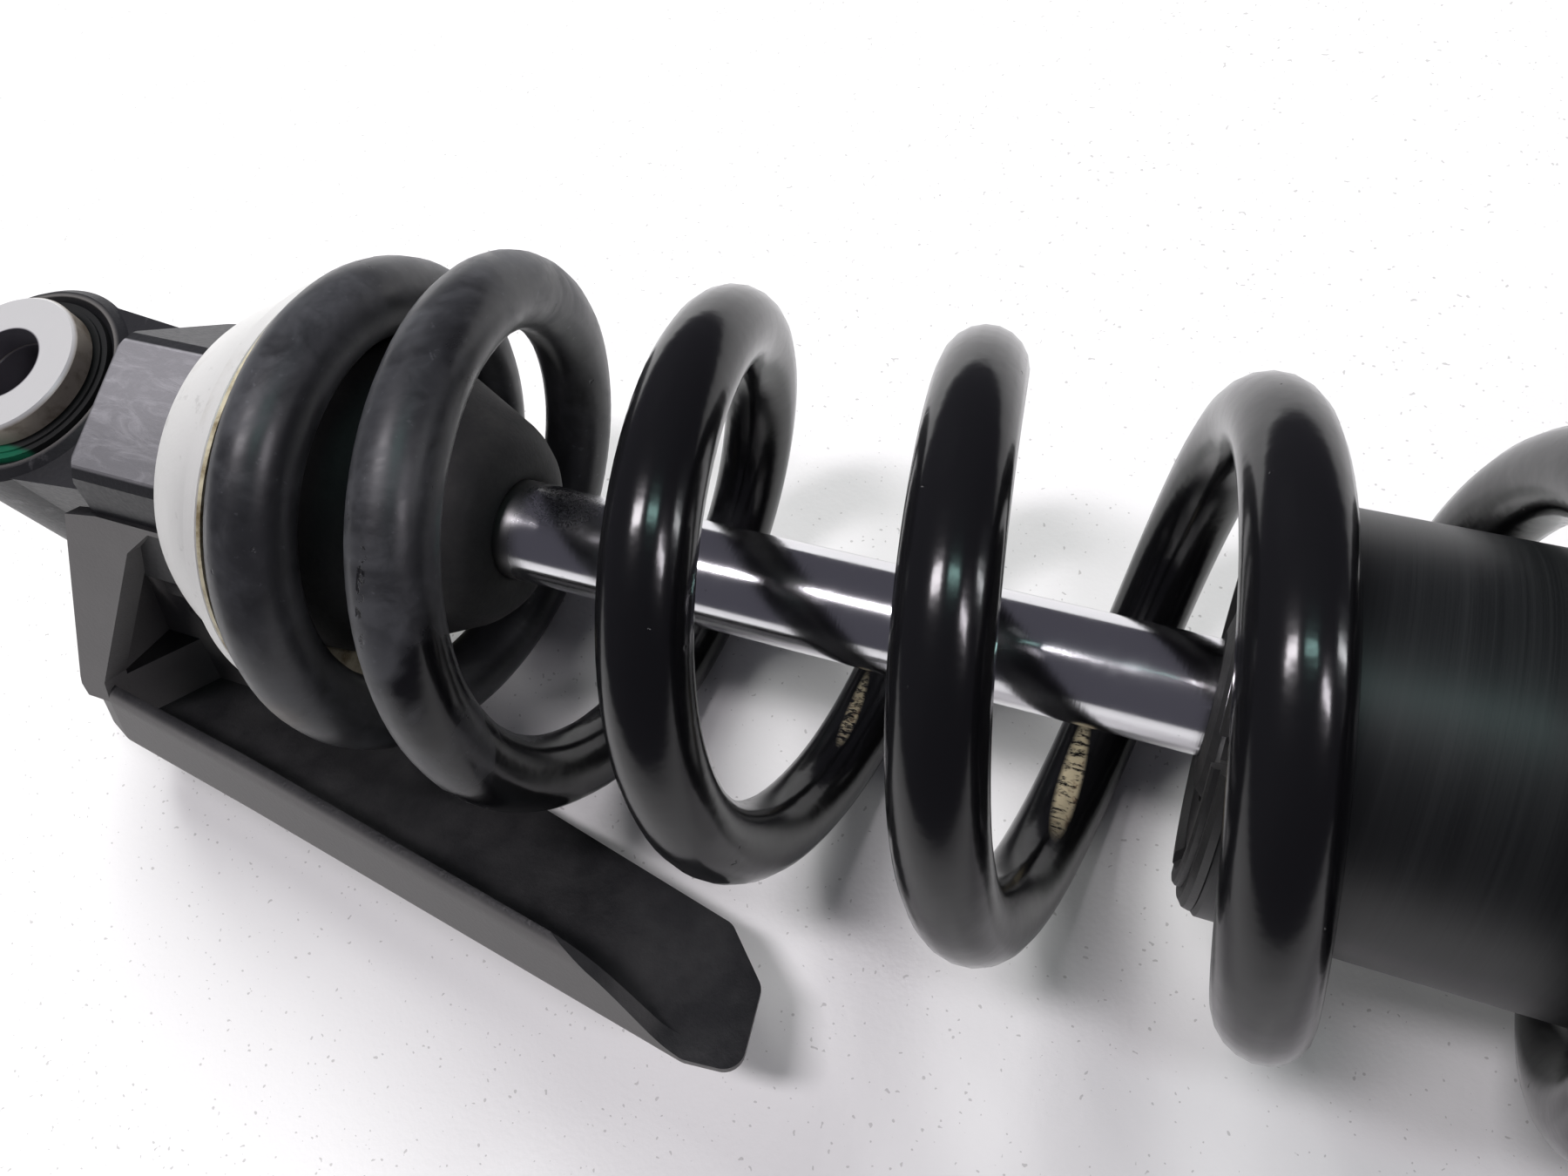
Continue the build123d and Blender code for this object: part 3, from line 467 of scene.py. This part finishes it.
def groundSteelMaterial(name, look):
    material, tree, shader, place = startMaterial(name, look["face"], 0.3, 0.42)
    away, height = eyePlace(tree, place)
    up = calc(tree, "ABSOLUTE", height)
    onFace = ranged(tree, up, look["faceHeight"] - 0.0005, look["faceHeight"])
    # painted shade: the bore is painted dark
    paintedBoreShade = ranged(tree, away, 0.0064, 0.0061)
    grain = noise(tree, stretched(tree, place, (3200, 500, 500)), 1.0, 3, 0.6)
    stain = ranged(tree, noise(tree, place, 260, 5, 0.65), 0.45, 0.72)
    # painted shade on the cylinder wall, with real brown stains mixed in
    side = mixed(tree, stain, (*look["side"], 1), (0.13, 0.105, 0.08, 1))
    tint = mixed(tree, onFace, side, (*look["face"], 1))
    tint = mixed(tree, paintedBoreShade, tint, (*look["bore"], 1))
    rough = calc(tree, "ADD", 0.34, calc(tree, "MULTIPLY", grain, 0.14))
    feed(tree, shader, colour=tint, rough=rough)
    bump(tree, shader, grain, 0.00002)
    return material


def plainSteelMaterial(name):
    material, tree, shader, place = startMaterial(name, (0.45, 0.45, 0.45), 1.0, 0.36)
    cloud = ranged(tree, noise(tree, place, 240, 5, 0.6), 0.35, 0.7)
    feed(tree, shader, colour=mixed(tree, cloud, (0.50, 0.50, 0.50, 1), (0.34, 0.335, 0.32, 1)),
         rough=calc(tree, "ADD", 0.28, calc(tree, "MULTIPLY", cloud, 0.2)))
    bump(tree, shader, noise(tree, place, 1800, 2), 0.00002)
    return material


# grey: colour of the real worn patches and of the painted light on the outer walls
plastic = {"black": (0.0125, 0.0125, 0.0140), "grey": (0.195, 0.191, 0.186), "rough": 0.46,
           "tilt": 25.0}


def plasticMaterial(name, look):
    material, tree, shader, place = startMaterial(name, look["black"], 0.0, look["rough"])
    grain = noise(tree, place, 1500, 3, 0.65)
    worn = ranged(tree, noise(tree, place, 90, 5, 0.65), 0.35, 0.75)
    # painted light: faces turned away from the tray's up direction (the outer walls) are painted lighter grey and
    # made rougher
    faceUp = node(tree, "NewGeometry").outputs["Normal"]
    tilted = (0, sin(radians(look["tilt"])), cos(radians(look["tilt"])))
    turned = node(tree, "VectorMath", {0: faceUp, 1: tilted}, operation="DOT_PRODUCT").outputs["Value"]
    outside = ranged(tree, turned, 0.93, 0.60)
    grey = calc(tree, "ADD", calc(tree, "MULTIPLY", worn, 0.10), calc(tree, "MULTIPLY", outside, 0.62), True)
    feed(tree, shader, colour=mixed(tree, grey, (*look["black"], 1), (*look["grey"], 1)),
         rough=calc(tree, "ADD", calc(tree, "ADD", look["rough"], calc(tree, "MULTIPLY", outside, 0.12)),
                    calc(tree, "MULTIPLY", worn, 0.08)))
    bump(tree, shader, grain, 0.00012, 0.7)
    return material


def brassMaterial(name, light, dark):
    material, tree, shader, place = startMaterial(name, light, 1.0, 0.35)
    cloud = ranged(tree, noise(tree, place, 300, 5, 0.6), 0.35, 0.7)
    feed(tree, shader, colour=mixed(tree, cloud, (*light, 1), (*dark, 1)),
         rough=calc(tree, "ADD", 0.26, calc(tree, "MULTIPLY", cloud, 0.2)))
    bump(tree, shader, noise(tree, place, 2200, 2), 0.00002)
    return material


def nylonMaterial(name):
    material, tree, shader, place = startMaterial(name, (0.55, 0.46, 0.22), 0.0, 0.45)
    cloud = ranged(tree, noise(tree, place, 320, 5, 0.65), 0.40, 0.72)
    feed(tree, shader, colour=mixed(tree, cloud, (0.50, 0.46, 0.33, 1), (0.16, 0.12, 0.06, 1)))
    bump(tree, shader, noise(tree, place, 1200, 2), 0.00003)
    return material


finishes = {
    "spring_lacquer": lacquerMaterial("springLacquer", lacquer),
    "black_anodised": anodisedMaterial("blackAnodised", anodised),
    "black_forging": forgingMaterial("blackForging", forging),
    "satin_aluminium": satinMaterial("satinAluminium", satin),
    "turned_aluminium": turnedAluminiumMaterial("turnedAluminium"),
    "chrome_rod": chromeMaterial("hardChrome", chrome),
    "black_rubber": rubberMaterial("blackRubber", rubber),
    "green_seal": sealMaterial("greenSeal"),
    "ground_steel": groundSteelMaterial("groundSteel", ground),
    "plain_steel": plainSteelMaterial("zincedSteel"),
    "guard_plastic": plasticMaterial("grainedPlastic", plastic),
    "valve_brass": brassMaterial("valveBrass", (0.62, 0.47, 0.20), (0.40, 0.27, 0.10)),
    "bush_bronze": brassMaterial("bushBronze", (0.48, 0.34, 0.20), (0.30, 0.20, 0.11)),
    "washer_nylon": nylonMaterial("agedNylon"),
}

slotOf = {part["node"]: part["material_slot"] for part in frame["record"]["subparts"]}
capFinish = blastedMaterial("blastedBlack", blasted)
for name, piece in nodes.items():
    finish = capFinish if name in blasted["on"] else finishes[slotOf[name]]
    for holder in piece.material_slots:
        holder.material = finish
    if not piece.material_slots:
        piece.data.materials.append(finish)
spring.data.materials.clear()
spring.data.materials.append(finishes["spring_lacquer"])
bumpStop.data.materials.append(finishes["black_rubber"])
print("materials given to", len(nodes) + 2, "pieces")

# table, lights and surroundings

table = {"height": -0.0377, "centre": 0.17, "half": 2.2, "speck": (0.15, 0.14, 0.13),
         "white": (0.76, 0.76, 0.755), "rough": 0.40}


def makeTable(look):
    bm = bmesh.new()
    bmesh.ops.create_grid(bm, x_segments=2, y_segments=2, size=look["half"])
    bmesh.ops.translate(bm, verts=bm.verts, vec=(look["centre"], 0, look["height"]))
    mesh = bpy.data.meshes.new("table")
    bm.to_mesh(mesh)
    bm.free()
    top = bpy.data.objects.new("tableTop", mesh)
    scene.collection.objects.link(top)
    material, tree, shader, place = startMaterial("whiteTable", look["white"], 0.0, look["rough"])
    dots = ranged(tree, noise(tree, place, 1500, 0), 0.80, 0.83)
    cloud = noise(tree, place, 9, 3)
    tint = mixed(tree, cloud, (0.745, 0.747, 0.740, 1), (0.775, 0.776, 0.768, 1))
    feed(tree, shader, colour=mixed(tree, calc(tree, "MULTIPLY", dots, 0.4), tint, (*look["speck"], 1)))
    bump(tree, shader, noise(tree, place, 700, 3, 0.6), 0.00008, 0.6)
    mesh.materials.append(material)
    return top


makeTable(table)

middle = Vector((0.15, 0.0, 0.0))
# each lamp: name, direction from the shock, distance, width, height, colour, watts, and
# whether it shows in surface light and in gloss
lamps = [
    ("ceilingLampLeft", (-0.27, -0.06, 0.92), 1.5, 0.20, 0.50, (1.0, 0.95, 1.0), 9, (True, True)),
    ("ceilingLampRight", (0.74, -0.02, 0.66), 1.6, 0.14, 0.46, (0.98, 0.93, 1.0), 5, (True, True)),
    ("tealLamp", (0.28, 0.06, 0.95), 1.6, 0.07, 0.60, (0.60, 1.0, 0.94), 2.2, (False, True)),
    ("lowWindow", (0.95, 0.31, 0.18), 1.7, 0.08, 0.8, (0.95, 0.97, 1.0), 4, (True, True)),
    ("softWindow", (-0.52, 0.62, 0.54), 1.7, 0.8, 0.7, (1.0, 1.0, 1.0), 43, (True, False)),
    ("nearFill", (-0.62, -0.85, 0.55), 1.7, 0.9, 0.7, (1.0, 1.0, 0.98), 8, (True, False)),
]
for name, way, far, width, height, colour, watts, seen in lamps:
    lamp = bpy.data.lights.new(name, "AREA")
    lamp.shape = "RECTANGLE"
    lamp.size = width
    lamp.size_y = height
    lamp.color = colour
    lamp.energy = watts
    holder = bpy.data.objects.new(name, lamp)
    holder.location = middle + Vector(way).normalized() * far
    holder.rotation_euler = Vector(way).to_track_quat("Z", "Y").to_euler()
    holder.visible_diffuse, holder.visible_glossy = seen
    scene.collection.objects.link(holder)

room = {"colour": (0.60, 0.58, 0.72), "strength": 0.12}
world = bpy.data.worlds.new("room")
world.use_nodes = True
background = world.node_tree.nodes["Background"]
background.inputs["Color"].default_value = (*room["colour"], 1)
background.inputs["Strength"].default_value = room["strength"]
scene.world = world
scene.view_settings.view_transform = "Standard"
print("table and lights set")
